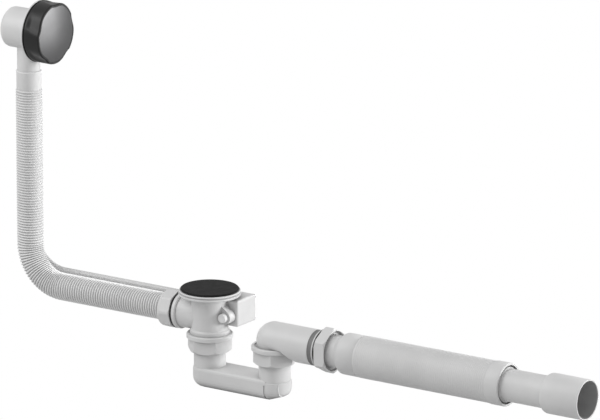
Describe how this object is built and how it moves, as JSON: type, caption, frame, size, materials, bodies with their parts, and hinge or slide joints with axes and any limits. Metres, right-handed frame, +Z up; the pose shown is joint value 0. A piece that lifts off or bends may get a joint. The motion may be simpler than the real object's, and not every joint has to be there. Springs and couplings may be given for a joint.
{
  "type": "bath waste and overflow",
  "caption": "Bath waste and overflow with a turned control, cable-lifted plug, ribbed hose, flat U trap and an expanding outlet pipe.",
  "frame": {"origin": "on the waste axis, in the plane where the underside of the bath rests on the seal", "axes": "+Z up along the waste axis; +X along the outlet pipe, away from the overflow; +Y away from the side with the bearing cap, towards the mechanism box"},
  "size_m": [0.851, 0.086, 0.4554],
  "materials": {
    "white_plastic": "satin white moulding",
    "pipe_plastic": "matt light grey folds",
    "hose_plastic": "satin ribbed hose",
    "sheath_plastic": "satin sheath",
    "grey_plastic": "matt grey moulding",
    "black_plastic": "satin black",
    "matt_black": "matt black",
    "black_rubber": "matt",
    "satin_metal": "satin, fine turned grain",
    "steel": "bright",
    "brass": "plain turned"
  },
  "bodies": {
    "fittings": {"waste_flange": "white_plastic", "bath_seal": "black_rubber", "waste_body": "white_plastic", "shaft_plug": "white_plastic", "mechanism_box": "white_plastic", "mechanism_cover": "white_plastic", "cover_screws": "steel", "cable_sheath": "sheath_plastic", "cable_wire": "steel", "lower_cable_gland": "white_plastic", "upper_cable_gland": "white_plastic", "overflow_hose": "hose_plastic", "hose_nut": "white_plastic", "hose_seal": "black_rubber", "overflow_housing": "white_plastic", "overflow_seal": "black_rubber", "overflow_plate": "white_plastic", "overflow_screws": "steel", "inlet_union_nut": "white_plastic", "inlet_washer": "black_rubber", "outlet_union_nut": "white_plastic", "outlet_washer": "black_rubber", "trap_body": "white_plastic", "outlet_elbow": "white_plastic", "elbow_band": "black_rubber", "clamp_ring": "white_plastic", "elbow_seal": "black_rubber", "elbow_nut": "white_plastic", "expanding_pipe": "pipe_plastic", "end_seal": "black_rubber", "end_ring": "white_plastic", "end_connector": "white_plastic"},
    "control": {"control_knob": "black_plastic", "knob_face": "satin_metal", "knob_spindle": "brass", "spindle_clip": "steel"},
    "upper_cable_end": {"upper_fork": "brass"},
    "lower_cable_end": {"lower_fork": "brass"},
    "lever": {"lever_shaft": "steel", "lift_lever": "grey_plastic", "crank": "steel"},
    "plug": {"plug_disc": "matt_black", "plug_seal": "black_rubber", "plug_stem": "grey_plastic"}
  },
  "joints": [
    {"name": "knob_turn", "type": "hinge", "parent": "fittings", "child": "control", "pos_m": [-0.24, 0, 0.295], "axis": [1, 0, 0], "range_deg": [0, 90]},
    {"name": "upper_wire_slide", "type": "slide", "parent": "fittings", "child": "upper_cable_end", "axis": [0, 0.7071, -0.7071], "range_m": [0, 0.00364]},
    {"name": "lower_wire_slide", "type": "slide", "parent": "fittings", "child": "lower_cable_end", "axis": [1, 0, 0], "range_m": [0, 0.00364]},
    {"name": "lever_swing", "type": "hinge", "parent": "fittings", "child": "lever", "pos_m": [0.026, 0, -0.0283], "axis": [0, 1, 0], "range_deg": [0, 22.05]},
    {"name": "plug_lift", "type": "slide", "parent": "fittings", "child": "plug", "axis": [0, 0, 1], "range_m": [0, 0.00995]}
  ],
  "couplings": [
    {"joint": "upper_wire_slide", "follows": "knob_turn", "m_per_rad": 0.002308},
    {"joint": "lower_wire_slide", "follows": "knob_turn", "m_per_rad": 0.002308},
    {"joint": "lever_swing", "follows": "knob_turn", "ratio": 0.24444},
    {"joint": "plug_lift", "follows": "knob_turn", "m_per_rad": 0.0063166}
  ]
}
